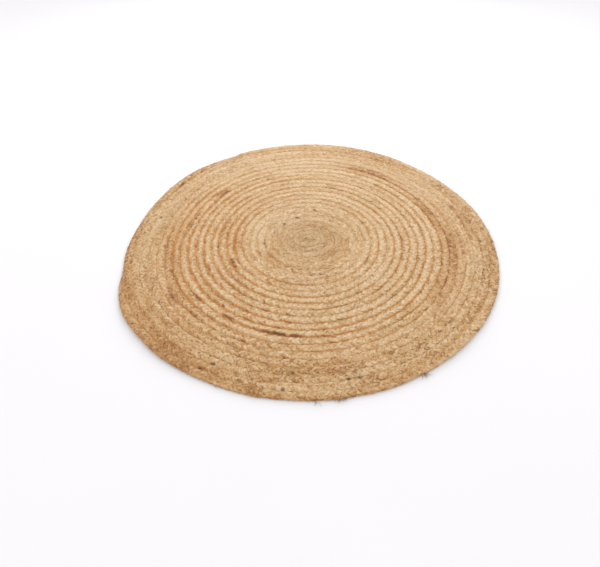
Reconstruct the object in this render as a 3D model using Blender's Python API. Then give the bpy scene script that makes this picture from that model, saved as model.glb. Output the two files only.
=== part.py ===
"""Round braided jute rug, 1.2 m across, at full size in metres with +Z up.

One flat braid is coiled as a spiral, clockwise from the middle outwards as seen
from above.  It is worked in several lengths that butt end to end, and a sewing
yarn in the groove between two turns holds each turn to the one inside it.  The
rug lies on the plane z = 0, and the middle of its outline is the origin.

Places in the coil have two coordinates: the turn number t, which counts turns
along the braid from its first end, and the ring value v, which counts pitches
outwards from the middle.  The nested ovals of equal v are round far from the
middle, and flatten into the slit that the first turn is folded round.
"""

from math import cos, exp, pi, radians, sin, sqrt

import bmesh
import bpy

# Driving dimensions, in metres
TURN_PITCH = 0.0248
SEAM_GAP = 0.0003
BRAID_THICKNESS = 0.009
FOLD_HALF_LENGTH = 0.020
COIL_CENTRE = (-0.0118, -0.0035)  # puts the middle of the outline at the origin

# The coil, in turns and stations round each turn
STATIONS_PER_TURN = 36
START_ANGLE = radians(327)
END_STATION = 24 * STATIONS_PER_TURN + 13
EDGE_JOIN_STATION = 23 * STATIONS_PER_TURN + 21
FOLD_FADE_TURNS = 2.5
BRAID_LENGTHS = 12
SEWING_YARNS = 8

# The tapered first end, in pitches and turns
START_WIDTH = 0.32
START_PRESS_FROM = 0.6

# The outer edge: the tail tapers over the last part of a turn, and the braid
# is worn narrow just before the last join.  Widths are in pitches.
TAIL_TAPER_TURNS = 0.05
TAIL_TAPER_WIDTH = 0.60
JOIN_TAPER_TURNS = 0.06
JOIN_TAPER_WIDTH = 0.33

# Hand-made unevenness of the outline: harmonic, share of the radius, direction
OUTLINE_WAVES = (
    (1, 0.0108, radians(71)),
    (2, 0.0092, radians(55)),
    (3, 0.0095, radians(-20)),
    (4, 0.0029, radians(29)),
    (5, 0.0037, radians(-8)),
    (6, 0.0027, radians(17)),
)
WAVES_FULL_AT = 24.0

# The braid's section: a flat underside, sides that are fullest just below
# mid-height and a flat crown, as (side, inset in metres, share of the thickness)
INNER_SIDE = 0
OUTER_SIDE = 1
UNDERSIDE_INSET = 0.0032
CROWN_INSET = 0.0048
LARGEST_INSET = 0.40  # as a share of the width, where the braid is narrow
BRAID_PROFILE = (
    (INNER_SIDE, UNDERSIDE_INSET, 0.0),
    (OUTER_SIDE, UNDERSIDE_INSET, 0.0),
    (OUTER_SIDE, 0.0, 0.45),
    (OUTER_SIDE, CROWN_INSET, 1.0),
    (INNER_SIDE, CROWN_INSET, 1.0),
    (INNER_SIDE, 0.0, 0.45),
)

# The sewing yarn's section in metres, across the groove and up from the floor
YARN_PROFILE = (
    (-0.0017, 0.0010),
    (0.0017, 0.0010),
    (0.0, 0.0031),
)
YARN_FIRST_TURN = 0.75

# Jute tones, as linear colours
STRAW = (0.60, 0.40, 0.20)
GOLDEN = (0.53, 0.32, 0.13)
TAN = (0.50, 0.33, 0.17)
YARN_BROWN = (0.40, 0.26, 0.13)
BRAID_TONES = (STRAW, TAN, STRAW, GOLDEN)


def clear_scene():
    for thing in list(bpy.data.objects):
        bpy.data.objects.remove(thing, do_unlink=True)


def smooth_step(share):
    share = min(1.0, max(0.0, share))
    return share * share * (3.0 - 2.0 * share)


def outline_wave(angle, ring):
    """Relative growth of the radius in one direction, fading towards the middle."""
    wave = sum(size * cos(n * (angle - peak)) for n, size, peak in OUTLINE_WAVES)
    return wave * min(1.0, ring / WAVES_FULL_AT)


def ring_point(ring, angle):
    """The point of the oval of one ring value in one direction."""
    long_half = TURN_PITCH * ring + FOLD_HALF_LENGTH * exp(-ring / FOLD_FADE_TURNS)
    short_half = TURN_PITCH * ring + SEAM_GAP / 2
    grow = 1.0 + outline_wave(angle, ring)
    x = COIL_CENTRE[0] + grow * long_half * cos(angle)
    y = COIL_CENTRE[1] + grow * short_half * sin(angle)
    return x, y


def turn_angle(turn):
    return START_ANGLE - 2 * pi * turn


def seam_ring(turn):
    """Ring value of the seam on the outer side of the braid."""
    return START_WIDTH + turn


def inner_ring(turn):
    """Ring value of the braid's inner edge: the slit, then the seam one turn back."""
    if turn < 1.0:
        return START_WIDTH * smooth_step((turn - START_PRESS_FROM) / (1 - START_PRESS_FROM))
    return seam_ring(turn - 1.0)


def outer_ring(turn):
    """Ring value of the braid's outer edge, with the tapers of the free edge."""
    end = END_STATION / STATIONS_PER_TURN
    join = EDGE_JOIN_STATION / STATIONS_PER_TURN
    tail = TAIL_TAPER_WIDTH * smooth_step((turn - end + TAIL_TAPER_TURNS) / TAIL_TAPER_TURNS)
    worn = 0.0
    if turn < join:
        worn = JOIN_TAPER_WIDTH * smooth_step((turn - join + JOIN_TAPER_TURNS) / JOIN_TAPER_TURNS)
    return seam_ring(turn) - tail - worn


def arc_per_turn(turn):
    return 2 * pi * TURN_PITCH * max(turn, 0.5)


def trimmed_turns(first_station, last_station):
    """Turn numbers of the sections, drawn in by half a gap at both ends."""
    turns = [station / STATIONS_PER_TURN for station in range(first_station, last_station + 1)]
    turns[0] += SEAM_GAP / 2 / arc_per_turn(turns[0])
    turns[-1] -= SEAM_GAP / 2 / arc_per_turn(turns[-1])
    return turns


def braid_section(turn):
    half_gap = SEAM_GAP / 2 / TURN_PITCH
    inner = inner_ring(turn) + half_gap
    outer = outer_ring(turn) - half_gap
    angle = turn_angle(turn)
    section = []
    for side, inset, up in BRAID_PROFILE:
        inset_rings = min(inset / TURN_PITCH, LARGEST_INSET * (outer - inner))
        ring = inner + inset_rings if side == INNER_SIDE else outer - inset_rings
        x, y = ring_point(ring, angle)
        section.append((x, y, up * BRAID_THICKNESS))
    return section


def yarn_section(turn):
    angle = turn_angle(turn)
    section = []
    for across, up in YARN_PROFILE:
        x, y = ring_point(seam_ring(turn) + across / TURN_PITCH, angle)
        section.append((x, y, up))
    return section


def loft(name, sections, material):
    """One closed solid through a row of sections, capped at both ends."""
    shell = bmesh.new()
    rings = [[shell.verts.new(point) for point in section] for section in sections]
    for back, front in zip(rings, rings[1:]):
        for i in range(len(back)):
            j = (i + 1) % len(back)
            shell.faces.new((back[i], back[j], front[j], front[i]))
    shell.faces.new(rings[0])
    shell.faces.new(rings[-1])
    bmesh.ops.recalc_face_normals(shell, faces=shell.faces)
    mesh = bpy.data.meshes.new(name)
    shell.to_mesh(mesh)
    shell.free()
    mesh.shade_smooth()
    mesh.set_sharp_from_angle(angle=radians(50))
    mesh.materials.append(material)
    piece = bpy.data.objects.new(name, mesh)
    bpy.context.scene.collection.objects.link(piece)
    return piece


def jute_material(name, colour):
    material = bpy.data.materials.new(name)
    material.use_nodes = True
    shader = material.node_tree.nodes["Principled BSDF"]
    shader.inputs["Base Color"].default_value = (*colour, 1.0)
    shader.inputs["Roughness"].default_value = 0.85
    shader.inputs["Metallic"].default_value = 0.0
    return material


def equal_length_stations(first, last, pieces):
    """Stations that cut the coil into pieces of equal length.

    The length from the middle to a turn grows as the square of its number.
    """
    low = (first / STATIONS_PER_TURN) ** 2
    high = (last / STATIONS_PER_TURN) ** 2
    turns = [sqrt(low + (high - low) * i / pieces) for i in range(pieces + 1)]
    return [round(turn * STATIONS_PER_TURN) for turn in turns]


def build_braid_lengths():
    joins = equal_length_stations(0, EDGE_JOIN_STATION, BRAID_LENGTHS - 1) + [END_STATION]
    for i, (first, last) in enumerate(zip(joins, joins[1:])):
        name = f"braid_length_{i + 1:02d}"
        tone = BRAID_TONES[i % len(BRAID_TONES)]
        sections = [braid_section(turn) for turn in trimmed_turns(first, last)]
        loft(name, sections, jute_material(f"jute_{name}", tone))


def build_sewing_yarns():
    first_station = round(YARN_FIRST_TURN * STATIONS_PER_TURN)
    last_station = END_STATION - STATIONS_PER_TURN
    cuts = equal_length_stations(first_station, last_station, SEWING_YARNS)
    for i, (first, last) in enumerate(zip(cuts, cuts[1:])):
        name = f"sewing_yarn_{i + 1:02d}"
        sections = [yarn_section(turn) for turn in trimmed_turns(first, last)]
        loft(name, sections, jute_material(f"jute_{name}", YARN_BROWN))


def main():
    clear_scene()
    build_braid_lengths()
    build_sewing_yarns()


main()
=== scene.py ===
from math import pi, radians, sqrt

import bpy
import numpy as np
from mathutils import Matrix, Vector


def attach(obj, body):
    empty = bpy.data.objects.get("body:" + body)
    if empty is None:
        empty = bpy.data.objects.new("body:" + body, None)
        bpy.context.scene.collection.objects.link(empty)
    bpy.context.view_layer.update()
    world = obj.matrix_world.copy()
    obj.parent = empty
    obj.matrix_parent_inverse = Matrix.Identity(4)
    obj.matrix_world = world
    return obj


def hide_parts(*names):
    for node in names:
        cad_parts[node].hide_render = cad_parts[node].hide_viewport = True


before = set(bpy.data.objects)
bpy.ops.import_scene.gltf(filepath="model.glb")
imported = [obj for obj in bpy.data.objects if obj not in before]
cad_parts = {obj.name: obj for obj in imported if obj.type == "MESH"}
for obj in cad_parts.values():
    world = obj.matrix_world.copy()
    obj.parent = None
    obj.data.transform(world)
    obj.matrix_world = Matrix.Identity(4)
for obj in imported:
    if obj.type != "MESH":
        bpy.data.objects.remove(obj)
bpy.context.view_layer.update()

# ---------------------------------------------------------------------------
# The coil, as in the CAD: metres, turns, and ring values in pitches
# ---------------------------------------------------------------------------
TURN_PITCH = 0.0248
SEAM_GAP = 0.0003
BRAID_THICKNESS = 0.009
FOLD_HALF_LENGTH = 0.020
COIL_CENTRE = (-0.0118, -0.0035)
STATIONS_PER_TURN = 36
START_ANGLE = radians(327)
END_STATION = 24 * STATIONS_PER_TURN + 13
EDGE_JOIN_STATION = 23 * STATIONS_PER_TURN + 21
END_TURN = END_STATION / STATIONS_PER_TURN
EDGE_JOIN_TURN = EDGE_JOIN_STATION / STATIONS_PER_TURN
FOLD_FADE_TURNS = 2.5
BRAID_LENGTHS = 12
SEWING_YARNS = 8
START_WIDTH = 0.32
START_PRESS_FROM = 0.6
TAIL_TAPER_TURNS = 0.05
TAIL_TAPER_WIDTH = 0.60
JOIN_TAPER_TURNS = 0.06
JOIN_TAPER_WIDTH = 0.33
OUTLINE_WAVES = (
    (1, 0.0108, radians(71)),
    (2, 0.0092, radians(55)),
    (3, 0.0095, radians(-20)),
    (4, 0.0029, radians(29)),
    (5, 0.0037, radians(-8)),
    (6, 0.0027, radians(17)),
)
WAVES_FULL_AT = 24.0
YARN_FIRST_TURN = 0.75
TUCKED_TURNS = 0.012     # the very end of the tail narrows and is tucked against the rim
TUCKED_WIDTH = 0.24

# ---------------------------------------------------------------------------
# The braid: three strands, each a soft bundle of jute yarns
# ---------------------------------------------------------------------------
STRANDS = 3
REPEAT = 0.048           # one strand's way from edge to edge and back
STEP = 0.0031            # between two sections of a strand
YARNS_ROUND = 6          # yarns round the outside of a strand
YARN_POINTS = 4          # section points on each of them
RIM_POINTS = YARN_POINTS * YARNS_ROUND
YARN_SHAPE = (-1.0, 0.35, 0.85, 0.35)  # a sharp valley between two round yarns
YARN_RELIEF = 0.00042
LUMPS = 0.55             # unevenness along the yarns, as a share of their relief
BUNDLE_TWIST = 0.30      # metres for the yarns to wind once round a strand
EDGE_TILT = 0.28
FLATTENING = 0.80        # under 1 squares the strand's section, as pressed jute is
END_OVERLAP = 0.0025     # a braid length runs this far into the next one

# A strand's sizes in flat rows and in round rows: at the braid's middle, where it
# crosses over or under the others, and where it turns at the edge
FLAT_HEIGHTS = (0.0071, 0.0058, 0.0074)
ROUND_HEIGHTS = (0.0067, 0.0051, 0.0058)
FLAT_WIDTHS = (0.0114, 0.0144, 0.0110)
ROUND_WIDTHS = (0.0110, 0.0138, 0.0104)
FLAT_RISE = 0.0008       # how far a crossing strand stands above mid-height
ROUND_RISE = 0.0013
FLAT_PRESS = 0.0013      # how far the strands of two turns press into each other
ROUND_PRESS = 0.0009

SOLE = 0.0012            # strands are pressed flat below this height
NARROW_LIMITS = (0.12, 1.15)  # how far a narrow or wide braid scales its strands
WALKED_FLAT = 0.60       # the middle of the rug is worn: its strands rise less

# Unevenness, each as (size, step in metres, seed).  Those of the coil are shared by the
# three strands of a braid; those of a strand or a yarn are its own.  The steps of the
# seam's sway are in squared turns, which grow evenly along the coil.
SEAM_SWAY = ((0.055, 1.6, 11), (0.03, 0.5, 12))
PHASE_OF_COIL = ((1.3, 0.31, 100),)
PHASE_OF_STRAND = ((0.38, 0.05, 140),)
BULK_OF_STRAND = ((0.09, 0.045, 200),)
PULL_OF_STRAND = ((0.07, 0.07, 300),)
CROWN_OF_COIL = ((0.0004, 0.10, 400),)
CROWN_OF_STRAND = ((0.0003, 0.03, 410),)
TWIST_OF_STRAND = ((1.5, 0.15, 500),)
SWELL_OF_YARN = ((0.7, 0.022, 600),)
LUMP_STEP = 0.0065
LUMP_SEED = 640

KNOTS = 4096


def wander(x, step, seed):
    """Smooth noise between -1 and 1 that changes over about one step of x."""
    knots = np.random.default_rng(seed).uniform(-1.0, 1.0, KNOTS)
    place = np.asarray(x, float) / step
    cell = np.floor(place).astype(int)
    share = place - cell
    share = share * share * (3 - 2 * share)
    return knots[cell % KNOTS] * (1 - share) + knots[(cell + 1) % KNOTS] * share


def layered(noise, place, layers, own=0):
    """Sum of noises, each layer being (size, step, seed).  own sets the seeds apart."""
    return sum(size * noise(place, step, seed + own) for size, step, seed in layers)


def smooth_step(share):
    share = np.clip(share, 0.0, 1.0)
    return share * share * (3 - 2 * share)


# ---------------------------------------------------------------------------
# Places in the coil
# ---------------------------------------------------------------------------
def coil_point(ring, angle):
    """Points of the nested ovals, as an array of x, y."""
    ring = np.asarray(ring, float)
    wave = sum(size * np.cos(n * (angle - peak)) for n, size, peak in OUTLINE_WAVES)
    grow = 1.0 + wave * np.clip(ring / WAVES_FULL_AT, 0.0, 1.0)
    long_half = TURN_PITCH * ring + FOLD_HALF_LENGTH * np.exp(-np.maximum(ring, 0) / FOLD_FADE_TURNS)
    short_half = TURN_PITCH * ring + SEAM_GAP / 2
    x = COIL_CENTRE[0] + grow * long_half * np.cos(angle)
    y = COIL_CENTRE[1] + grow * short_half * np.sin(angle)
    return np.stack([x, y], -1)


def turn_angle(turn):
    return START_ANGLE - 2 * pi * turn


def seam_ring(turn):
    """Ring value of the seam outside the braid, which wanders as hand-sewn seams do."""
    return START_WIDTH + turn + layered(wander, turn * turn, SEAM_SWAY) * smooth_step(turn / 3.0)


def inner_ring(turn):
    start = START_WIDTH * smooth_step((turn - START_PRESS_FROM) / (1 - START_PRESS_FROM))
    return np.where(turn < 1.0, start, seam_ring(np.maximum(turn - 1.0, 0.0)))


def outer_ring(turn):
    tail = TAIL_TAPER_WIDTH * smooth_step((turn - END_TURN + TAIL_TAPER_TURNS) / TAIL_TAPER_TURNS)
    tail = tail + TUCKED_WIDTH * smooth_step((turn - END_TURN + TUCKED_TURNS) / TUCKED_TURNS)
    worn = JOIN_TAPER_WIDTH * smooth_step((turn - EDGE_JOIN_TURN + JOIN_TAPER_TURNS) / JOIN_TAPER_TURNS)
    worn = np.where(turn < EDGE_JOIN_TURN, worn, 0.0)
    return seam_ring(turn) - tail - worn


def metre_table():
    """Metres of braid from its first end, against turns."""
    turns = np.linspace(0.0, END_TURN, 24000)
    middle = coil_point((inner_ring(turns) + outer_ring(turns)) / 2, turn_angle(turns))
    steps = np.linalg.norm(np.diff(middle, axis=0), axis=1)
    return turns, np.concatenate([[0.0], np.cumsum(steps)])


TABLE_TURNS, TABLE_METRES = metre_table()
LAST_METRE = TABLE_METRES[-1]


def metres_at(turn):
    return np.interp(turn, TABLE_TURNS, TABLE_METRES)


def turn_at(metres):
    return np.interp(metres, TABLE_METRES, TABLE_TURNS)


def equal_length_stations(first, last, pieces):
    low = (first / STATIONS_PER_TURN) ** 2
    high = (last / STATIONS_PER_TURN) ** 2
    turns = [sqrt(low + (high - low) * i / pieces) for i in range(pieces + 1)]
    return [round(turn * STATIONS_PER_TURN) for turn in turns]


def unit(vectors):
    return vectors / np.maximum(np.linalg.norm(vectors, axis=-1, keepdims=True), 1e-12)


# ---------------------------------------------------------------------------
# Meshes
# ---------------------------------------------------------------------------
def mesh_from_loops(name, points, loops, sizes):
    """A mesh from its points, the corners of all faces in a row, and the faces' sizes."""
    mesh = bpy.data.meshes.new(name)
    mesh.vertices.add(len(points))
    mesh.vertices.foreach_set("co", points.astype(np.float32).reshape(-1))
    mesh.loops.add(len(loops))
    mesh.loops.foreach_set("vertex_index", loops.astype(np.int32))
    mesh.polygons.add(len(sizes))
    mesh.polygons.foreach_set("loop_start", (np.cumsum(sizes) - sizes).astype(np.int32))
    mesh.update(calc_edges=True)
    return mesh


def write_map(mesh, places):
    layer = mesh.uv_layers.new(name="OFBake")
    layer.data.foreach_set("uv", places.astype(np.float32).reshape(-1))


def piece_from_mesh(mesh, material):
    mesh.shade_smooth()
    mesh.materials.append(material)
    piece = bpy.data.objects.new(mesh.name, mesh)
    bpy.context.scene.collection.objects.link(piece)
    return piece


class TubeMesh:
    """Collects closed tubes, with point attributes and a bake map, for one mesh."""

    def __init__(self, name, rows, row_sections):
        self.name = name
        self.rows = rows
        self.row_sections = row_sections
        self.row = 0
        self.column = 0
        self.points = []
        self.quads = []
        self.quad_maps = []
        self.caps = []
        self.attributes = {}
        self.count = 0

    def add(self, rings, attributes):
        """rings is sections x points x 3; attributes hold sections x points (x 3)."""
        sections, around = rings.shape[:2]
        index = np.arange(sections * around).reshape(sections, around) + self.count
        ahead = np.roll(index, -1, axis=1)
        quads = np.stack([index[:-1], ahead[:-1], ahead[1:], index[1:]], -1)
        self.quads.append(quads.reshape(-1, 4))
        self.quad_maps.append(self._map_tube(sections - 1, around).reshape(-1, 4, 2))
        self.caps.append(index[0][::-1])
        self.caps.append(index[-1])
        self.points.append(rings.reshape(-1, 3))
        for key, values in attributes.items():
            self.attributes.setdefault(key, []).append(values.reshape(sections * around, -1))
        self.count += sections * around

    def _map_tube(self, segments, around):
        """Map places of a tube's quads: it fills the map row by row."""
        maps = np.zeros((segments, around, 4, 2))
        edge = np.arange(around + 1) / around * 0.86 + 0.07
        done = 0
        while done < segments:
            room = self.row_sections - self.column
            if room < min(3, segments - done):
                self.row += 1
                self.column = 0
                room = self.row_sections
            run = min(room, segments - done)
            along = (self.column + 0.15 + np.arange(run + 1) * (run - 0.3) / run) / self.row_sections
            left = along[:-1, None] + 0 * edge[None, :-1]
            right = along[1:, None] + 0 * edge[None, :-1]
            low = (self.row + edge[None, :-1] + 0 * left) / self.rows
            high = (self.row + edge[None, 1:] + 0 * left) / self.rows
            block = maps[done:done + run]
            block[:, :, 0] = np.stack([left, low], -1)
            block[:, :, 1] = np.stack([left, high], -1)
            block[:, :, 2] = np.stack([right, high], -1)
            block[:, :, 3] = np.stack([right, low], -1)
            self.column += run
            done += run
        return maps

    def build(self, material):
        quads = np.concatenate(self.quads)
        loops = np.concatenate([quads.reshape(-1)] + self.caps)
        sizes = np.concatenate([np.full(len(quads), 4), [len(cap) for cap in self.caps]])
        mesh = mesh_from_loops(self.name, np.concatenate(self.points), loops, sizes)
        write_map(mesh, np.concatenate([np.concatenate(self.quad_maps).reshape(-1, 2)] + self._cap_maps()))
        for key, values in self.attributes.items():
            values = np.concatenate(values)
            kind = "FLOAT_VECTOR" if values.shape[1] == 3 else "FLOAT"
            layer = mesh.attributes.new(key, kind, "POINT")
            field = "vector" if kind == "FLOAT_VECTOR" else "value"
            layer.data.foreach_set(field, values.astype(np.float32).reshape(-1))
        return piece_from_mesh(mesh, material)

    def _cap_maps(self):
        """A small disc along the top of the map for each end cap."""
        maps = []
        for i, cap in enumerate(self.caps):
            turn = np.linspace(0, 2 * pi, len(cap), endpoint=False)
            place = 0.01 + (i % 120) * 0.008
            maps.append(np.stack([place + 0.003 * np.cos(turn), 0.995 + 0.003 * np.sin(turn)], -1))
        return maps


def tube_rings(path, wide, high, face, around, twist, relief):
    """Sections of a lobed bundle along a path.  face is the way its flat side looks."""
    ahead = unit(np.gradient(path, axis=0))
    up = unit(face - ahead * np.sum(face * ahead, -1, keepdims=True))
    side = np.cross(up, ahead)
    turn = np.linspace(0, 2 * pi, around, endpoint=False)[None, :] + twist[:, None]
    across = np.sign(np.cos(turn)) * np.abs(np.cos(turn)) ** FLATTENING
    upward = np.sign(np.sin(turn)) * np.abs(np.sin(turn)) ** FLATTENING
    out_side = np.cos(turn) / wide[:, None]
    out_up = np.sin(turn) / high[:, None]
    length = np.sqrt(out_side**2 + out_up**2)
    a = wide[:, None] / 2 * across + relief * out_side / length
    b = high[:, None] / 2 * upward + relief * out_up / length
    rings = path[:, None, :] + a[..., None] * side[:, None, :] + b[..., None] * up[:, None, :]
    return rings


# ---------------------------------------------------------------------------
# Strands of one braid length
# ---------------------------------------------------------------------------
def braid_state(metres):
    """Where the braid's edges are, and how wide it is, along its length."""
    turn = turn_at(metres)
    angle = turn_angle(turn)
    inner = inner_ring(turn)
    outer = outer_ring(turn)
    return turn, angle, inner, outer


# Where the rim stands off the floor: direction in degrees, height in metres
RIM_LIFTS = (
    (218, 0.0052),
    (314, 0.0032),
)
RIM_LIFT_SPREAD = 20     # degrees to each side
RIM_LIFT_STARTS = 21.5   # turns
RIM_LIFT_TURNS = 2.5


def rim_lift(turn, angle):
    """The rim stands a little off the floor at two places of the last turns."""
    near = smooth_step((turn - RIM_LIFT_STARTS) / RIM_LIFT_TURNS)
    degrees = np.degrees(angle) % 360
    return near * sum(
        height * np.exp(-((degrees - where) / RIM_LIFT_SPREAD) ** 2) for where, height in RIM_LIFTS
    )


# The zone of round rows with golden painted shade along their seams: where it starts and
# ends, and over how many pitches it fades in and out
ZONE_STARTS = 6.5
ZONE_RISE = 4.0
ZONE_ENDS = 17.0
ZONE_FALL = 3.5
CONTRAST_ELSEWHERE = 0.20


def zone_contrast(ring):
    """How round the rows are and how strong the golden painted shade along their seams: most in the middle
    zone.
    """
    rise = smooth_step((ring - ZONE_STARTS) / ZONE_RISE)
    fall = 1.0 - smooth_step((ring - ZONE_ENDS) / ZONE_FALL)
    return CONTRAST_ELSEWHERE + (1.0 - CONTRAST_ELSEWHERE) * rise * fall


def between(flat, rounded, share):
    return flat + (rounded - flat) * share


def along_cross(phase, middle, crossing, edge):
    """A size that takes three given values on a strand's way across the braid."""
    mean = (middle + edge) / 2
    once = (middle - edge) / 2 * np.cos(2 * phase)
    twice = (mean - crossing) / 2 * np.cos(4 * phase)
    return (mean + crossing) / 2 + once + twice


def above_floor(height):
    """Presses the underside flat, so that nothing reaches below the floor."""
    return np.where(height > SOLE, height, SOLE * np.exp(np.minimum(height / SOLE - 1.0, 0.0)))


def per_point(metres, step, seed, points):
    """Noise of its own for each point of a section."""
    return np.stack([wander(metres, step, seed + point) for point in range(points)], -1)


def per_yarn(metres, step, seed):
    """Noise of its own for each yarn of a strand, at every point of its sections."""
    return np.repeat(per_point(metres, step, seed, YARNS_ROUND), YARN_POINTS, axis=1)


def strand_rings(metres, strand):
    turn, angle, inner, outer = braid_state(metres)
    half = (outer - inner) / 2
    narrow = np.clip(half * 2, *NARROW_LIMITS)
    own = 7 * strand
    phase = 2 * pi * (metres / REPEAT + strand / STRANDS)
    phase = phase + layered(wander, metres, PHASE_OF_COIL) + layered(wander, metres, PHASE_OF_STRAND, own)
    roundness = zone_contrast(seam_ring(turn))
    heights = [between(a, b, roundness) for a, b in zip(FLAT_HEIGHTS, ROUND_HEIGHTS)]
    widths = [between(a, b, roundness) for a, b in zip(FLAT_WIDTHS, ROUND_WIDTHS)]
    bulk = 1.0 + layered(wander, metres, BULK_OF_STRAND, own)
    high = along_cross(phase, *heights) * np.sqrt(narrow) * bulk
    wide = along_cross(phase, *widths) * narrow * bulk
    press = between(FLAT_PRESS, ROUND_PRESS, roundness)
    reach = half - (widths[2] / 2 * narrow - press) / TURN_PITCH
    edge_pull = 1.0 + layered(wander, metres, PULL_OF_STRAND, own)
    ring = (inner + outer) / 2 + reach * np.sin(phase) * edge_pull
    walked_flat = between(WALKED_FLAT, 1.0, smooth_step((seam_ring(turn) - 6.0) / 5.0))
    lift = between(FLAT_RISE, ROUND_RISE, roundness) * np.sqrt(narrow) * walked_flat
    rise = -np.sin(2 * phase)
    crown = layered(wander, metres, CROWN_OF_COIL) + layered(wander, metres, CROWN_OF_STRAND, own)
    height = BRAID_THICKNESS / 2 + crown + lift * rise + rim_lift(turn, angle)
    path = np.concatenate([coil_point(ring, angle), height[:, None]], -1)
    outward = unit(coil_point(ring + 0.05, angle) - coil_point(ring - 0.05, angle))
    lean = EDGE_TILT * np.sin(phase) * rise
    face = np.concatenate([outward * lean[:, None], np.ones((len(metres), 1))], -1)
    twist = 2 * pi * metres / BUNDLE_TWIST + layered(wander, metres, TWIST_OF_STRAND, own) + strand
    shape = np.tile(YARN_SHAPE, YARNS_ROUND)[None, :]
    lumps = per_point(metres, LUMP_STEP, LUMP_SEED + 40 * strand, RIM_POINTS)
    relief = shape + layered(per_yarn, metres, SWELL_OF_YARN, 10 * strand) + LUMPS * lumps
    rings = tube_rings(path, wide, high, face, RIM_POINTS, twist, YARN_RELIEF * relief)
    rings[..., 2] = above_floor(rings[..., 2])
    return rings, turn, angle, inner, outer


# Uneven places in the jute: direction in degrees, turns from the middle, spread in
# degrees and in turns, then how much paler, how much redder and how full of bark it is
PATCHES = (
    (354, 18.75, 24, 0.7, -0.14, 0.75, 0.22),
    (18, 17.7, 16, 0.4, -0.10, 0.55, 0.10),
    (5, 19.7, 30, 0.5, -0.03, 0.30, 0.00),
    (5, 16.7, 30, 0.5, 0.10, 0.00, 0.00),
    (10, 22.0, 9, 0.5, -0.16, 0.60, 0.30),
    (328, 18.2, 8, 0.8, -0.15, 0.50, 0.20),
    (183, 19.6, 18, 0.5, -0.10, 0.65, 0.15),
    (186, 17.6, 22, 0.5, -0.06, 0.50, 0.20),
    (50, 18.6, 22, 0.5, -0.12, 0.50, 0.20),
    (57, 22.3, 10, 1.0, -0.12, 0.35, 0.35),
    (119, 22.7, 5, 0.9, -0.05, 0.00, 0.90),
    (157, 20.6, 12, 0.8, -0.05, 0.10, 0.55),
    (140, 16.4, 4, 0.4, -0.40, 0.50, 0.20),
    (63, 16.2, 3, 0.4, -0.30, 0.10, 0.80),
    (73, 12.6, 3, 0.4, -0.30, 0.10, 0.80),
    (188, 9.9, 12, 0.8, -0.01, 0.32, 0.10),
    (180, 11.5, 30, 2.5, 0.05, 0.00, 0.00),
    (192, 16.8, 18, 0.6, -0.05, 0.40, 0.00),
    (214, 18.8, 6, 0.7, -0.20, 0.50, 0.20),
    (288, 7.0, 14, 0.9, -0.05, 0.00, 0.60),
    (342, 22.4, 8, 0.8, -0.05, 0.00, 0.95),
    (13, 21.9, 8, 0.7, -0.08, 0.10, 0.60),
    (282, 21.9, 6, 0.8, -0.05, 0.00, 0.50),
    (231, 23.6, 10, 1.0, -0.12, 0.50, 0.20),
    (88, 20.8, 6, 1.0, -0.04, 0.25, 0.00),
    (60, 19.0, 12, 1.5, -0.05, 0.30, 0.10),
    (325, 4.3, 62, 0.55, -0.10, 0.62, 0.20),
    (175, 3.6, 40, 0.5, -0.06, 0.45, 0.20),
    (10, 2.4, 60, 0.5, -0.08, 0.50, 0.30),
    (178, 9.0, 14, 0.8, -0.03, 0.30, 0.15),
    (215, 5.5, 25, 0.8, -0.04, 0.40, 0.05),
    (200, 22.8, 14, 1.0, -0.04, 0.30, 0.10),
    # painted light: the far side of the rug paler, as more light falls on it
    (85, 14.5, 60, 5.0, 0.09, 0.00, 0.00),
    (20, 7.6, 70, 0.7, 0.14, 0.00, 0.00),
    (150, 7.6, 50, 0.8, 0.10, 0.00, 0.00),
    (0, 1.5, 400, 2.6, -0.03, 0.12, 0.34),
    # painted shade: the outer rows of the near side darker, as less light falls on them
    (250, 20.5, 60, 4.0, -0.12, 0.10, 0.12),
    (225, 23.4, 26, 1.2, -0.03, 0.35, 0.12),
    (292, 23.6, 14, 0.6, -0.08, 0.30, 0.10),
    (265, 21.3, 5, 0.4, -0.10, 0.20, 0.70),
    (300, 21.6, 6, 0.5, -0.10, 0.10, 0.80),
    # painted light: the far side of the rug paler, as more light falls on it
    (90, 18.0, 65, 6.0, 0.08, 0.00, 0.00),
    (270, 22.9, 12, 0.5, 0.16, 0.00, 0.10),
)

# Dark rusty stretches of a seam: direction in degrees, ring, half length in degrees, strength
STREAKS = (
    (258, 16.35, 9.5, 1.0),
    (238, 16.30, 5, 0.8),
    (211, 18.90, 5, 0.5),
    (205, 10.40, 7, 0.6),
    (166, 16.40, 9, 0.6),
    (139, 16.10, 3, 0.6),
    (218, 16.60, 3.5, 0.6),
    (146, 22.90, 2.5, 0.7),
    (246, 18.45, 4, 0.5),
    (225, 18.45, 2.5, 0.6),
    (133, 12.80, 3, 0.4),
    (275, 18.50, 8, 0.3),
)
STREAK_WIDTH = 0.22      # in pitches

# Single dark bits of bark: direction in degrees, ring
BITS = (
    (265, 21.3),
    (263, 23.4),
    (280, 22.4),
    (283, 22.5),
    (188, 5.8),
    (241, 23.4),
    (243, 22.4),
    (82, 6.4),
    (282, 6.7),
    (134, 4.5),
    (107, 4.8),
    (167, 21.4),
)
BIT_SIZE = 0.0042

LANES = 5                # colour lanes across a braid


def lanes(across, metres, step, seed):
    """Noise that runs in lanes along the braid, whichever strand lies there."""
    place = np.clip((across + 1) * (LANES - 1) / 2, 0, LANES - 1.001)
    lane = np.floor(place).astype(int)
    share = place - lane
    values = per_point(metres, step, seed, LANES)
    section = np.arange(len(metres))[:, None]
    return values[section, lane] * (1 - share) + values[section, lane + 1] * share


def degrees_from(angle, where):
    """How far each direction is from a given one, in degrees."""
    return (np.degrees(angle) - where + 180) % 360 - 180


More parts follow.
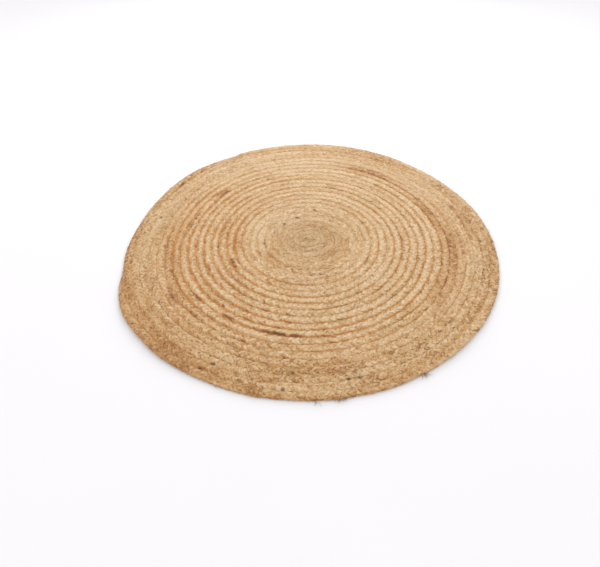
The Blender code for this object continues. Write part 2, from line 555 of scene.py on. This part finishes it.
def patch_fields(ring, angle):
    """Paleness, redness and bark at places given by ring value and direction."""
    fields = np.zeros((3,) + ring.shape)
    for where, at, wide, tall, *strengths in PATCHES:
        share = np.exp(-((degrees_from(angle, where) / wide) ** 2) - ((ring - at) / tall) ** 2)
        fields += np.array(strengths).reshape(3, 1) * share
    return fields


def streak_field(ring, angle):
    """How much of a dark streak each point is in."""
    field = np.zeros(ring.shape)
    for where, at, half, strength in STREAKS:
        along = (degrees_from(angle, where)[:, None] / half) ** 4
        field += strength * np.exp(-along - ((ring - at) / STREAK_WIDTH) ** 2)
    return field


def bit_field(ring, angle):
    """How much of a bit of bark each point is in."""
    field = np.zeros(ring.shape)
    for where, at in BITS:
        along = np.radians(degrees_from(angle, where))[:, None] * at
        field += np.exp(-(along**2 + (ring - at) ** 2) * (TURN_PITCH / BIT_SIZE) ** 2)
    return field


# Noise in the colour, as (size, step in metres, seed)
TONE_OF_COIL = ((0.07, 0.9, 700),)
TONE_OF_STRAND = ((0.09, 0.02, 720), (0.09, 0.12, 740))
TONE_OF_YARN = ((0.16, 0.05, 800), (0.20, 0.014, 830))
TONE_OF_LANE = ((0.17, 0.14, 600), (0.09, 0.035, 610))
BAND_OF_SEAM = ((0.55, 0.38, 770), (0.40, 0.06, 771))
RAGGED_OF_YARN = ((0.9, 0.018, 880),)
STREAK_OF_COIL = ((0.7, 0.011, 795),)
PITS_OF_STRAND = ((0.7, 0.011, 790), (0.6, 0.028, 793))
PITS_OF_COIL = ((0.5, 0.15, 797),)
CHIP_STEP = 0.0045
CHIP_SEED = 900

BATCH_TONES = (0.4, -0.6, 0.3, -0.9)  # the yarn batches of the braid lengths
BATCH_STRENGTH = 0.05
GROOVE_TOP = 0.0076      # below this height the jute gets painted shade, the darker the deeper
GROOVE_DEPTH = 0.0026
UNDERSIDE_SHADE_FROM = 0.0034  # deeper still: where painted shade on the hidden underside starts
UNDERSIDE_SHADE_FADE = 0.0026
DARKER_UNDERSIDE_SHADE_FROM = 0.0042       # and where that painted shade turns near-black
DARKER_UNDERSIDE_SHADE_FADE = 0.0020
RIM_WEAR = 0.09          # how much darker the jute is at the rim and in the middle
MIDDLE_WEAR = 0.07
DULLING = 0.02
FIBRE_STRETCH = 1.25     # texture metres for each metre of strand
FIBRE_APART = 70.0       # texture metres between two strands
FIBRE_RADIUS = 0.004


def fibre_places(length, around, radius):
    """Texture places that run along a strand or a yarn, so that streaks follow it."""
    turn = np.linspace(0, 2 * pi, around, endpoint=False)[None, :]
    length = length[:, None] + 0 * turn
    return np.stack([radius * np.cos(turn) + 0 * length, radius * np.sin(turn) + 0 * length, length], -1)


def braid_places(rings, angle, inner, outer):
    """Each point's place across the braid, from -1 to 1, and its ring value."""
    middle = coil_point((inner + outer) / 2, angle)
    edge = coil_point(outer, angle)
    half = np.linalg.norm(edge - middle, axis=-1)
    reach = rings[..., :2] - middle[:, None, :]
    across = np.einsum("spk,sk->sp", reach, unit(edge - middle)) / half[:, None]
    ring = ((inner + outer) / 2)[:, None] + across * ((outer - inner) / 2)[:, None]
    return across, ring


def golden_seam_shade(across, angle, contrast):
    """The golden painted shade along a seam, between two rows: wider on the left half of the rug and
    fainter on the far side, as the light falls.
    """
    leftward = np.clip(-np.cos(angle), 0.0, 1.0)[:, None]
    far = np.clip(np.sin(angle), 0.0, 1.0)[:, None]
    starts = 0.46 - 0.22 * leftward
    return smooth_step((np.abs(across) - starts) / 0.5) * contrast * (1.0 - 0.45 * far**2)


def seam_colours(metres, turn, angle, across, contrast, own):
    """Along the seams: the golden painted shade between the rows, its ragged edge, dark dashes of painted
    shade in the holes where strands cross, and the redness of both.
    """
    seam_metres = metres_at(np.maximum(turn[:, None] - (across < 0), 0.0))
    band = golden_seam_shade(across, angle, contrast)
    # the painted seam shade is uneven along the seam
    band = band * (0.95 + layered(wander, seam_metres, BAND_OF_SEAM))
    ragged = np.clip(1.0 + layered(per_yarn, metres, RAGGED_OF_YARN, own), 0.15, 2.0)
    stretch = np.clip(1.6 * wander(seam_metres, 0.9, 775) + 0.05, 0, 1)
    dashes = band * stretch * np.clip(2.5 * wander(seam_metres, 0.013, 774) + 0.3, 0, 1)
    redness = 0.30 * band * np.clip(wander(seam_metres, 0.5, 772), 0, 1) + 0.7 * dashes
    return band, ragged, dashes, redness


def jute_tone(metres, across, ring, near_side_shade_contrast, own):
    """How pale the jute is: noise of every kind, wear at the rim and in the middle."""
    def of_lanes(place, step, seed):
        return lanes(across, place, step, seed)

    tone = (layered(wander, metres, TONE_OF_COIL) + layered(wander, metres, TONE_OF_STRAND, own))[:, None]
    # yarn contrast is painted stronger towards the near side, standing in for the stronger shading there
    tone = tone + near_side_shade_contrast * layered(per_yarn, metres, TONE_OF_YARN, own)
    tone = tone + layered(of_lanes, metres, TONE_OF_LANE)
    rim = smooth_step((ring - 19.0) / 2.5) + 0.9 * smooth_step((ring - 21.8) / 1.5)
    middle = 1.0 - smooth_step((ring - 5.0) / 4.0)
    return tone - RIM_WEAR * rim - MIDDLE_WEAR * middle - DULLING


def rusty_yarns(metres, across, own):
    """Redness of single yarns, lanes and stretches of a strand."""
    golden = np.clip(per_yarn(metres, 0.03, 860 + own) - 0.45, 0, 1)
    golden = golden + 1.2 * np.clip(lanes(across, metres, 0.22, 620) - 0.35, 0, 1)
    return 0.55 * golden + 0.20 * np.clip(wander(metres, 0.3, 760 + own) - 0.3, 0, 1)[:, None]


def groove_depths(metres, across, ring, own):
    """How strong the painted shade in the grooves is: pitted along a strand, and more beside the seams."""
    pits = 0.55 + layered(wander, metres, PITS_OF_STRAND, own) + layered(wander, metres, PITS_OF_COIL)
    walked = 1.0 - smooth_step((ring - 6.0) / 3.0)
    beside = 0.45 + (0.75 + 0.6 * walked) * smooth_step((np.abs(across) - 0.4) / 0.4)
    return pits, beside


def strand_attributes(rings, metres, turn, angle, inner, outer, strand, number):
    """What the jute's colour is painted from, at every point."""
    around = rings.shape[1]
    own = 10 * strand
    across, ring = braid_places(rings, angle, inner, outer)
    contrast = zone_contrast(ring)
    # painted shade: colour contrast and shade in the grooves grow towards the near side, where the light
    # shades the rows more
    near_side_shade_contrast = between(0.72, 1.12, 0.5 - 0.5 * np.sin(angle))[:, None]
    ragged_end = np.radians(2.5) * wander(metres, 0.012, 690 + strand)
    paler, patch_redness, bark = patch_fields((inner + outer) / 2, angle + ragged_end)[..., None]
    band, ragged, dashes, seam_redness = seam_colours(metres, turn, angle, across, contrast, own)
    broken = np.clip(1.0 + layered(wander, metres, STREAK_OF_COIL), 0.2, 1.6)[:, None]
    streaks = streak_field(ring, angle) * broken

    tone = paler + jute_tone(metres, across, ring, near_side_shade_contrast, own)
    tone = tone + BATCH_STRENGTH * BATCH_TONES[number % len(BATCH_TONES)]
    # painted light: the crown of a round row paler and its sides darker, as light falls on a crown
    tone = tone + 0.20 * contrast * (0.45 - np.abs(across))
    # painted shade: the deepest part of the golden seam shade darker; the rusty streaks darker too
    tone = tone - 0.12 * np.clip(band * ragged - 0.9, 0, 1) - 0.10 * streaks
    redness = patch_redness + rusty_yarns(metres, across, own) + seam_redness + 1.5 * streaks

    depth = GROOVE_TOP - (rings[..., 2] - rim_lift(turn, angle)[:, None])
    pits, beside = groove_depths(metres, across, ring, own)
    pits = np.clip(pits, 0.0, 1.6)[:, None]
    # painted shade in the grooves between yarns and rows, pitted, strongest beside the seams and in the
    # dark dashes where strands cross
    groove_shade = smooth_step(depth / GROOVE_DEPTH) * (pits * near_side_shade_contrast * beside + 1.3 * dashes)
    # painted shade on the hidden underside, and a little darkening along the rusty streaks
    groove_shade = groove_shade + 1.3 * smooth_step((depth - UNDERSIDE_SHADE_FROM) / UNDERSIDE_SHADE_FADE) + 0.3 * streaks

    chips = np.repeat(per_point(metres, CHIP_STEP, CHIP_SEED + 40 * strand, around // 2), 2, axis=1)
    specks_and_underside_shade = np.clip((chips - 0.915 + 0.36 * bark) * 9.0, 0.0, 1.0)
    for dark in (
        np.clip(1.9 * bit_field(ring, angle), 0.0, 1.0),
        np.clip(0.75 * (streaks - 0.25), 0.0, 0.8),
        # painted shade: the underside of the braid near-black
        0.5 * smooth_step((depth - DARKER_UNDERSIDE_SHADE_FROM) / DARKER_UNDERSIDE_SHADE_FADE),
    ):
        specks_and_underside_shade = np.maximum(specks_and_underside_shade, dark)
    return {
        "fibre": fibre_places(metres * FIBRE_STRETCH + FIBRE_APART * strand, around, FIBRE_RADIUS),
        "tone": tone,
        "redness": redness,
        "specks_and_underside_shade": specks_and_underside_shade,
        "band": band * ragged,
        "olive": 1.0 - smooth_step((ring - 2.0) / 4.0),
        "groove_shade": groove_shade,
    }


BRAID_MAP_ROWS = 24      # rows of strand in a braid's bake map
SEWING_MAP_ROWS = 12
MAP_SPARE_ROWS = 1.2


def braid_piece(number, first, last, material):
    """One braid length: three strands in one mesh."""
    start = metres_at(first / STATIONS_PER_TURN)
    end = metres_at(last / STATIONS_PER_TURN)
    segments = int(round((end - start) / STEP))
    first_metre = max(start - END_OVERLAP, 0.0)
    last_metre = min(end + END_OVERLAP, LAST_METRE)
    metres = np.linspace(first_metre, last_metre, segments + 1)
    row_sections = int(np.ceil(STRANDS * segments / (BRAID_MAP_ROWS - MAP_SPARE_ROWS)))
    tubes = TubeMesh(f"braid_{number:02d}", BRAID_MAP_ROWS, row_sections)
    for strand in range(STRANDS):
        rings, turn, angle, inner, outer = strand_rings(metres, strand)
        tubes.add(rings, strand_attributes(rings, metres, turn, angle, inner, outer, strand, number))
    return tubes.build(material)


# ---------------------------------------------------------------------------
# Loose fibres: many short thin tubes at once
# ---------------------------------------------------------------------------
FIBRE_SECTIONS = 6
FIBRE_SIDES = 3


def fibre_paths(starts, headings, lengths, curls, arches):
    """Points along each fibre, which heads off level and arches up, and its side ways."""
    share = np.linspace(0, 1, FIBRE_SECTIONS)[None, :]
    heading = headings[:, None] + curls[:, None] * (share - 0.5)
    step = lengths[:, None] / (FIBRE_SECTIONS - 1)
    run_x = np.cumsum(np.cos(heading) * step, axis=1)
    run_y = np.cumsum(np.sin(heading) * step, axis=1)
    height = arches[:, None] * np.sin(pi * share * 0.8)
    path = starts[:, None, :] + np.stack([run_x, run_y, height], -1)
    side = np.stack([-np.sin(heading), np.cos(heading), 0 * heading], -1)
    return path, side


def fibre_rings(path, side, radii):
    """Sections of each fibre, which gets thinner towards its end."""
    share = np.linspace(0, 1, FIBRE_SECTIONS)[None, :]
    turn = np.linspace(0, 2 * pi, FIBRE_SIDES, endpoint=False)
    taper = radii[:, None] * (1.0 - 0.6 * share**2)
    sideways = np.cos(turn)[None, None, :, None] * side[:, :, None, :]
    upward = np.sin(turn)[None, None, :, None] * np.array([0.0, 0.0, 1.0])
    return path[:, :, None, :] + taper[..., None, None] * (sideways + upward)


def fibre_map(count):
    """Map places of all corners: one cell of a square grid for each fibre."""
    cells = int(np.ceil(sqrt(count)))
    cell = np.stack([np.arange(count) % cells, np.arange(count) // cells], -1)[:, None, None, :]
    along = 0.8 / (FIBRE_SECTIONS - 1)
    across = 0.8 / FIBRE_SIDES
    low = np.arange(FIBRE_SECTIONS - 1)[:, None] * along + 0.1
    near = np.arange(FIBRE_SIDES)[None, :] * across + 0.1
    corners = ((0, 0), (0, across), (along, across), (along, 0))
    quad_map = np.stack([np.stack([low + a + 0 * near, near + b + 0 * low], -1) for a, b in corners], -2)
    quad_map = quad_map.reshape(1, -1, 4, 2) * 0.96 + cell
    cap_map = cell + np.array([[0.1, 0.97], [0.12, 0.985], [0.14, 0.97]]).reshape(1, 1, 3, 2)
    return np.concatenate([(part / cells).reshape(-1, 2) for part in (quad_map, cap_map, cap_map)])


def fibre_mesh(name, starts, headings, lengths, curls, arches, radii, tones, material):
    """Many short curved fibres in one mesh."""
    count = len(starts)
    path, side = fibre_paths(starts, headings, lengths, curls, arches)
    rings = fibre_rings(path, side, radii)
    block = FIBRE_SECTIONS * FIBRE_SIDES
    index = np.arange(count * block).reshape(count, FIBRE_SECTIONS, FIBRE_SIDES)
    ahead = np.roll(index, -1, axis=2)
    quads = np.stack([index[:, :-1], ahead[:, :-1], ahead[:, 1:], index[:, 1:]], -1).reshape(-1, 4)
    caps = (index[:, 0, ::-1], index[:, -1, :])
    loops = np.concatenate([quads.reshape(-1)] + [cap.reshape(-1) for cap in caps])
    sizes = np.concatenate([np.full(len(quads), 4), np.full(2 * count, FIBRE_SIDES)])
    mesh = mesh_from_loops(name, rings.reshape(-1, 3), loops, sizes)
    write_map(mesh, fibre_map(count))
    tone = mesh.attributes.new("tone", "FLOAT", "POINT")
    tone.data.foreach_set("value", np.repeat(tones, block).astype(np.float32))
    return piece_from_mesh(mesh, material)


LOOSE_FIBRES = 6000
LOOSE_SEED = 51
LOOSE_ROOT = 0.0068      # height where a fibre starts beside a seam
LOOSE_CROWN = 0.0014     # and how much higher it starts at the middle of the braid
LOOSE_LENGTHS = (0.005, 0.018)
LOOSE_ARCHES = (0.0010, 0.0032)
LOOSE_RADII = (0.00009, 0.00022)
LOOSE_SLANTS = (0.1, 1.1)  # radians away from the braid's direction


def make_loose_fibres(material):
    """Short fibres that stand out of the braid all over its face."""
    random = np.random.default_rng(LOOSE_SEED)
    metres = random.uniform(0.3, LAST_METRE - 0.05, LOOSE_FIBRES)
    turn, angle, inner, outer = braid_state(metres)
    place = random.uniform(0.02, 0.98, LOOSE_FIBRES)
    flat = coil_point(inner + (outer - inner) * place, angle)
    low = LOOSE_ROOT + LOOSE_CROWN * np.sin(pi * place)
    starts = np.concatenate([flat, (low + rim_lift(turn, angle))[:, None]], -1)
    slants = random.choice([-1, 1], LOOSE_FIBRES) * random.uniform(*LOOSE_SLANTS, LOOSE_FIBRES)
    headings = angle + pi / 2 + slants + pi * random.integers(0, 2, LOOSE_FIBRES)
    lengths = random.uniform(*LOOSE_LENGTHS, LOOSE_FIBRES)
    curls = random.normal(0.0, 1.1, LOOSE_FIBRES)
    arches = random.uniform(*LOOSE_ARCHES, LOOSE_FIBRES)
    radii = random.uniform(*LOOSE_RADII, LOOSE_FIBRES)
    tones = random.uniform(0.0, 1.0, LOOSE_FIBRES)
    piece = fibre_mesh("loose_fibres", starts, headings, lengths, curls, arches, radii, tones, material)
    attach(piece, "root")


# Yarn ends at the rim: direction, how many, longest in metres, tone
RIM_ENDS = (
    (271, 5, 0.021, -0.25),
    (277, 34, 0.012, 0.10),
    (299, 12, 0.017, -0.30),
    (5, 6, 0.010, 0.4),
    (358, 4, 0.009, 0.4),
    (119, 8, 0.016, 0.0),
    (33, 3, 0.008, 0.3),
    (196, 12, 0.010, 0.4),
    (230, 5, 0.007, 0.2),
    (247, 4, 0.008, 0.3),
)
RIM_FUZZ = 700
RIM_SEED = 52
FUZZ_LENGTH = 0.006
FUZZ_RADII = (0.00010, 0.00020)
END_RADII = (0.00035, 0.00065)
RIM_HEIGHTS = (0.002, 0.0065)
RIM_ARCHES = (-0.0015, 0.0020)
RIM_ROOT = 0.06          # pitches that each fibre starts inside the rim


def make_rim_fibres(material):
    """Fuzz along the outer edge, and the few yarn ends that stick out of it."""
    random = np.random.default_rng(RIM_SEED)
    angle = [random.uniform(0, 2 * pi, RIM_FUZZ)]
    longest = [np.full(RIM_FUZZ, FUZZ_LENGTH)]
    tones = [random.uniform(0.2, 1.0, RIM_FUZZ)]
    radii = [random.uniform(*FUZZ_RADII, RIM_FUZZ)]
    for degrees, count, length, tone in RIM_ENDS:
        angle.append(radians(degrees) + random.normal(0, 0.012, count))
        longest.append(np.full(count, length))
        tones.append(np.full(count, tone) + random.uniform(-0.05, 0.1, count))
        radii.append(random.uniform(*END_RADII, count))
    angle, longest, tones, radii = (np.concatenate(part) for part in (angle, longest, tones, radii))
    turn = END_TURN - ((angle - turn_angle(END_TURN)) % (2 * pi)) / (2 * pi)
    flat = coil_point(outer_ring(turn) - RIM_ROOT, angle)
    height = random.uniform(*RIM_HEIGHTS, len(angle)) + rim_lift(turn, angle)
    starts = np.concatenate([flat, height[:, None]], -1)
    headings = angle + random.normal(0, 0.55, len(angle))
    lengths = longest * random.uniform(0.5, 1.0, len(angle))
    curls = random.normal(0.0, 1.2, len(angle))
    arches = random.uniform(*RIM_ARCHES, len(angle))
    piece = fibre_mesh("rim_fibres", starts, headings, lengths, curls, arches, radii, tones, material)
    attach(piece, "root")


# ---------------------------------------------------------------------------
# Sewing yarn
# ---------------------------------------------------------------------------
STITCH = 0.016
STITCH_REACH = 0.0017    # to each side of the seam
SEWING_WIDTH = 0.0017
SEWING_HEIGHT = 0.0021
SEWING_HUMP = 0.0006
SEWING_POINTS = 6
SEWING_TWIST = 0.012     # metres for the two plies to wind once round
SEWING_RELIEF = 0.00018
SEWING_END_GAP = 0.001


def stitch_piece(number, first, last, material):
    start = metres_at(first / STATIONS_PER_TURN)
    end = metres_at(last / STATIONS_PER_TURN)
    segments = int(round((end - start) / STEP))
    metres = np.linspace(start + SEWING_END_GAP, end - SEWING_END_GAP, segments + 1)
    turn = turn_at(metres)
    angle = turn_angle(turn)
    phase = 2 * pi * metres / (2 * STITCH)
    ring = seam_ring(turn) + STITCH_REACH / TURN_PITCH * np.sin(phase)
    height = SEWING_HEIGHT + SEWING_HUMP * np.cos(2 * phase) + rim_lift(turn, angle)
    path = np.concatenate([coil_point(ring, angle), height[:, None]], -1)
    wide = np.full(len(metres), SEWING_WIDTH)
    face = np.tile([0.0, 0.0, 1.0], (len(metres), 1))
    twist = 2 * pi * metres / SEWING_TWIST
    plies = np.tile([1.0, 0.0, -1.0], SEWING_POINTS // 3)[None, :]
    relief = SEWING_RELIEF * plies + 0 * wide[:, None]
    rings = tube_rings(path, wide, wide, face, SEWING_POINTS, twist, relief)
    row_sections = int(np.ceil(segments / (SEWING_MAP_ROWS - MAP_SPARE_ROWS)))
    tubes = TubeMesh(f"sewing_{number:02d}", SEWING_MAP_ROWS, row_sections)
    tubes.add(rings, {"fibre": fibre_places(metres, SEWING_POINTS, 0.001)})
    return tubes.build(material)


# ---------------------------------------------------------------------------
# Materials
# ---------------------------------------------------------------------------
class Nodes:
    """A short way to write a material's nodes."""

    def __init__(self, name):
        self.material = bpy.data.materials.new(name)
        self.material.use_nodes = True
        self.tree = self.material.node_tree
        self.shader = self.tree.nodes["Principled BSDF"]

    def attribute(self, name):
        node = self.tree.nodes.new("ShaderNodeAttribute")
        node.attribute_name = name
        return node.outputs

    def put(self, socket, value):
        if isinstance(value, bpy.types.NodeSocket):
            self.tree.links.new(value, socket)
        else:
            socket.default_value = value

    def math(self, operation, a, b=0.0, clamp=False):
        node = self.tree.nodes.new("ShaderNodeMath")
        node.operation = operation
        node.use_clamp = clamp
        self.put(node.inputs[0], a)
        self.put(node.inputs[1], b)
        return node.outputs[0]

    def centred(self, noise, strength):
        return self.math("MULTIPLY", self.math("SUBTRACT", noise, 0.5), strength)

    def scaled(self, vector, scale):
        node = self.tree.nodes.new("ShaderNodeVectorMath")
        node.operation = "MULTIPLY"
        self.put(node.inputs[0], vector)
        node.inputs[1].default_value = scale
        return node.outputs[0]

    def noise(self, vector, scale, detail=2.0, roughness=0.5):
        node = self.tree.nodes.new("ShaderNodeTexNoise")
        self.put(node.inputs["Vector"], vector)
        node.inputs["Scale"].default_value = scale
        node.inputs["Detail"].default_value = detail
        node.inputs["Roughness"].default_value = roughness
        return node.outputs["Fac"]

    def span(self, value, low, high, to_low=0.0, to_high=1.0):
        node = self.tree.nodes.new("ShaderNodeMapRange")
        node.interpolation_type = "SMOOTHSTEP"
        for socket, item in zip(node.inputs[:5], (value, low, high, to_low, to_high)):
            self.put(socket, item)
        return node.outputs[0]

    def ramp(self, value, stops):
        node = self.tree.nodes.new("ShaderNodeValToRGB")
        self.put(node.inputs[0], value)
        band = node.color_ramp
        band.elements[0].position, band.elements[0].color = stops[0][0], (*stops[0][1], 1)
        band.elements[1].position, band.elements[1].color = stops[-1][0], (*stops[-1][1], 1)
        for place, colour in stops[1:-1]:
            band.elements.new(place).color = (*colour, 1)
        return node.outputs[0]

    def mix(self, share, a, b, blend="MIX"):
        node = self.tree.nodes.new("ShaderNodeMix")
        node.data_type = "RGBA"
        node.blend_type = blend
        self.put(node.inputs["Factor"], share)
        for key, value in (("A", a), ("B", b)):
            socket = next(s for s in node.inputs if s.name == key and s.type == "RGBA")
            self.put(socket, value if isinstance(value, bpy.types.NodeSocket) else (*value, 1))
        return next(s for s in node.outputs if s.type == "RGBA")

    def bump(self, height, strength, distance):
        node = self.tree.nodes.new("ShaderNodeBump")
        node.inputs["Strength"].default_value = strength
        node.inputs["Distance"].default_value = distance
        self.put(node.inputs["Height"], height)
        self.put(self.shader.inputs["Normal"], node.outputs[0])


CREAM = (0.75, 0.575, 0.375)
STRAW = (0.63, 0.435, 0.24)
GOLDEN = (0.51, 0.30, 0.128)
BROWN = (0.29, 0.14, 0.050)
GOLD_RUST = (0.52, 0.262, 0.078)
RED_BROWN = (0.30, 0.115, 0.034)
BARK = (0.078, 0.026, 0.006)
OLIVE = (0.44, 0.35, 0.205)
SEAM_SHADE_TINT = (0.93, 0.72, 0.46)  # painted shade between two rows of jute, golden as the light that bounces between them
FLOOR_GREY = (0.875, 0.870, 0.880)
FLOOR_WHITE = (0.885, 0.880, 0.890)


def jute_material():
    n = Nodes("jute")
    fibre = n.attribute("fibre")["Vector"]
    tone = n.attribute("tone")["Fac"]
    band = n.attribute("band")["Fac"]
    hair = n.noise(n.scaled(fibre, (1.0, 1.0, 0.05)), 2200.0, 3.0, 0.6)
    streak = n.noise(n.scaled(fibre, (1.0, 1.0, 0.10)), 600.0, 2.0)
    blotch = n.noise(n.scaled(fibre, (1.0, 1.0, 0.45)), 110.0, 2.0)
    mottle = n.noise(n.scaled(fibre, (1.0, 1.0, 0.50)), 400.0, 2.0)
    level = n.math("ADD", 0.66, tone)
    for noise, strength in ((hair, 0.60), (streak, 0.45), (mottle, 1.75), (blotch, 0.60)):
        level = n.math("ADD", level, n.centred(noise, strength))
    level = n.math("ADD", level, 0.0, clamp=True)
    colour = n.ramp(level, ((0.0, BROWN), (0.28, GOLDEN), (0.62, STRAW), (1.0, CREAM)))
    colour = n.mix(n.math("MULTIPLY", n.attribute("olive")["Fac"], 0.30), colour, OLIVE)
    uneven = n.span(blotch, 0.25, 0.65, 0.3, 1.3)
    redness = n.math("MULTIPLY", n.attribute("redness")["Fac"], uneven, clamp=True)
    rust = n.ramp(redness, ((0.45, GOLD_RUST), (1.0, RED_BROWN)))
    colour = n.mix(n.math("MULTIPLY", redness, 0.85), colour, rust)
    # the golden painted shade along the seams, with a ragged edge
    ragged = n.span(blotch, 0.30, 0.70, 1.15, 0.75)
    strength = n.math("MULTIPLY", band, ragged, clamp=True)
    colour = n.mix(strength, colour, SEAM_SHADE_TINT, "MULTIPLY")
    # painted shade in the grooves and under the braid, towards brown
    pitted = n.span(mottle, 0.30, 0.62, 1.3, 0.35)
    groove_shade = n.math("MULTIPLY", n.attribute("groove_shade")["Fac"], pitted, clamp=True)
    colour = n.mix(n.math("MULTIPLY", groove_shade, 0.42), colour, BROWN)
    specks = n.noise(n.scaled(fibre, (1.0, 1.0, 0.45)), 420.0, 1.0)
    # dark specks, bits of bark and rusty streaks, and the painted shade under the braid, towards bark
    dark = n.math("MAXIMUM", n.span(specks, 0.69, 0.74, 0.0, 0.75), n.attribute("specks_and_underside_shade")["Fac"])
    colour = n.mix(n.math("MULTIPLY", dark, 0.85), colour, BARK)
    n.put(n.shader.inputs["Base Color"], colour)
    n.put(n.shader.inputs["Roughness"], n.span(hair, 0.3, 0.7, 0.66, 0.90))
    n.shader.inputs["Sheen Weight"].default_value = 0.40
    n.shader.inputs["Sheen Roughness"].default_value = 0.45
    n.shader.inputs["Sheen Tint"].default_value = (1.0, 0.88, 0.70, 1.0)
    n.shader.inputs["Specular IOR Level"].default_value = 0.25
    n.bump(n.math("ADD", hair, streak), 0.8, 0.0005)
    return n.material


def sewing_material():
    n = Nodes("sewing_jute")
    fibre = n.attribute("fibre")["Vector"]
    hair = n.noise(n.scaled(fibre, (1.0, 1.0, 0.08)), 3000.0, 3.0)
    blotch = n.noise(n.scaled(fibre, (1.0, 1.0, 0.2)), 150.0, 2.0)
    level = n.math("ADD", n.math("MULTIPLY", hair, 0.5), n.math("MULTIPLY", blotch, 0.6), clamp=True)
    colour = n.ramp(level, ((0.15, BROWN), (0.55, GOLDEN), (0.95, STRAW)))
    n.put(n.shader.inputs["Base Color"], colour)
    n.put(n.shader.inputs["Roughness"], n.span(hair, 0.3, 0.7, 0.7, 0.9))
    n.shader.inputs["Sheen Weight"].default_value = 0.2
    n.bump(hair, 0.6, 0.0003)
    return n.material


def fibre_material():
    n = Nodes("loose_jute")
    tone = n.attribute("tone")["Fac"]
    place = n.tree.nodes.new("ShaderNodeTexCoord").outputs["Object"]
    mottle = n.noise(place, 900.0, 2.0)
    level = n.math("ADD", tone, n.centred(mottle, 0.5), clamp=True)
    colour = n.ramp(level, ((0.0, BROWN), (0.25, GOLDEN), (0.6, STRAW), (1.0, CREAM)))
    n.put(n.shader.inputs["Base Color"], colour)
    n.put(n.shader.inputs["Roughness"], n.span(mottle, 0.3, 0.7, 0.6, 0.85))
    n.shader.inputs["Sheen Weight"].default_value = 0.15
    n.bump(mottle, 0.4, 0.0002)
    return n.material


def floor_material():
    n = Nodes("studio_floor")
    place = n.tree.nodes.new("ShaderNodeTexCoord").outputs["Object"]
    cloud = n.noise(place, 2.0, 2.0)
    n.put(n.shader.inputs["Base Color"], n.ramp(cloud, ((0.3, FLOOR_GREY), (0.7, FLOOR_WHITE))))
    n.put(n.shader.inputs["Roughness"], n.span(cloud, 0.3, 0.7, 0.75, 0.85))
    return n.material


# ---------------------------------------------------------------------------
# The rug's pieces
# ---------------------------------------------------------------------------
def put_on_rug(piece, node):
    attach(piece, "root")
    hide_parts(node)


def make_braids(material):
    joins = equal_length_stations(0, EDGE_JOIN_STATION, BRAID_LENGTHS - 1) + [END_STATION]
    for i, (first, last) in enumerate(zip(joins, joins[1:])):
        node = f"braid_length_{i + 1:02d}"
        piece = braid_piece(i + 1, first, last, material)
        put_on_rug(piece, node)


def make_sewing(material):
    first_station = round(YARN_FIRST_TURN * STATIONS_PER_TURN)
    cuts = equal_length_stations(first_station, END_STATION - STATIONS_PER_TURN, SEWING_YARNS)
    for i, (first, last) in enumerate(zip(cuts, cuts[1:])):
        piece = stitch_piece(i + 1, first, last, material)
        put_on_rug(piece, f"sewing_yarn_{i + 1:02d}")


# ---------------------------------------------------------------------------
# Floor, light and camera
# ---------------------------------------------------------------------------
FLOOR_SIZE = 14.0


def make_floor():
    bpy.ops.mesh.primitive_grid_add(x_subdivisions=8, y_subdivisions=8, size=FLOOR_SIZE)
    floor = bpy.context.object
    floor.name = "studio_floor"
    floor.data.materials.append(floor_material())


def add_area(name, place, target, size, power, colour):
    light = bpy.data.lights.new(name, "AREA")
    light.shape = "DISK"
    light.size = size
    light.energy = power
    light.color = colour
    lamp = bpy.data.objects.new(name, light)
    lamp.location = place
    lamp.rotation_euler = (Vector(target) - Vector(place)).to_track_quat("-Z", "Y").to_euler()
    bpy.context.scene.collection.objects.link(lamp)


def make_light():
    world = bpy.data.worlds.new("studio")
    bpy.context.scene.world = world
    world.use_nodes = True
    background = world.node_tree.nodes["Background"]
    background.inputs["Color"].default_value = (1.0, 0.99, 1.0, 1.0)
    background.inputs["Strength"].default_value = 1.040
    add_area(
        "back_softbox",
        place=(0.0, 2.2, 1.15),
        target=(0.0, 0.0, 0.0),
        size=1.5,
        power=20.0,
        colour=(1.0, 0.99, 0.97),
    )


RUG_RADIUS = 0.6
CAMERA_FROM_CENTRE = (-0.0454, -2.0565, 1.7540)  # in shares of the rug's radius
CAMERA_FLOOR = 0.005     # the height that the camera's own height is counted from
LOOKING_DOWN = radians(45.51)
LENS = 29.54             # millimetres


def make_camera():
    """The camera stands in front of the rug and looks down at its middle."""
    camera = bpy.data.objects.new("camera", bpy.data.cameras.new("camera"))
    camera.location = (
        COIL_CENTRE[0] + CAMERA_FROM_CENTRE[0] * RUG_RADIUS,
        COIL_CENTRE[1] + CAMERA_FROM_CENTRE[1] * RUG_RADIUS,
        CAMERA_FROM_CENTRE[2] * RUG_RADIUS + CAMERA_FLOOR,
    )
    camera.rotation_euler = (radians(90) - LOOKING_DOWN, 0.0, 0.0)
    camera.data.sensor_width = 36.0
    camera.data.lens = LENS
    camera.data.clip_start = 0.01
    bpy.context.scene.collection.objects.link(camera)
    bpy.context.scene.camera = camera


make_camera()
make_braids(jute_material())
make_sewing(sewing_material())
LOOSE_JUTE = fibre_material()
make_loose_fibres(LOOSE_JUTE)
make_rim_fibres(LOOSE_JUTE)
make_floor()
make_light()
bpy.context.scene.view_settings.view_transform = "Standard"
